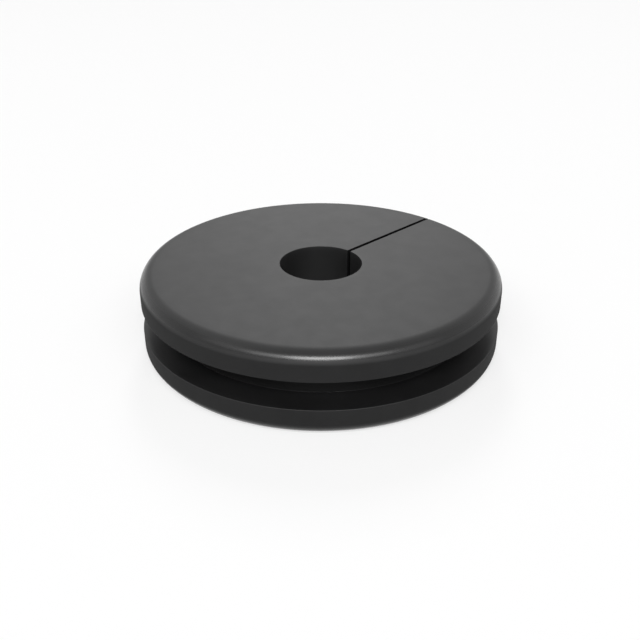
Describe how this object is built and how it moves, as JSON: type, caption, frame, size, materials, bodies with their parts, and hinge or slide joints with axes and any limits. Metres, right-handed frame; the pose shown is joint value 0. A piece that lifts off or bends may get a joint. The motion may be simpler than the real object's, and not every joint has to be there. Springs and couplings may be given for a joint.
{
  "type": "rubber grommet",
  "caption": "Round split cable grommet in black rubber: equal flanges with rounded rims, a panel groove between them, a straight central bore and a radial slit.",
  "frame": {"origin": "centre of the bottom face, on the bore's axis", "axes": "+Z along the bore, up through the part as it lies flat; +X from the bore's axis along the slit"},
  "size_m": [0.039, 0.039, 0.009],
  "materials": {
    "rubber": "satin-matt moulded black rubber"
  },
  "bodies": {
    "root": {"grommet": "rubber"}
  },
  "joints": []
}
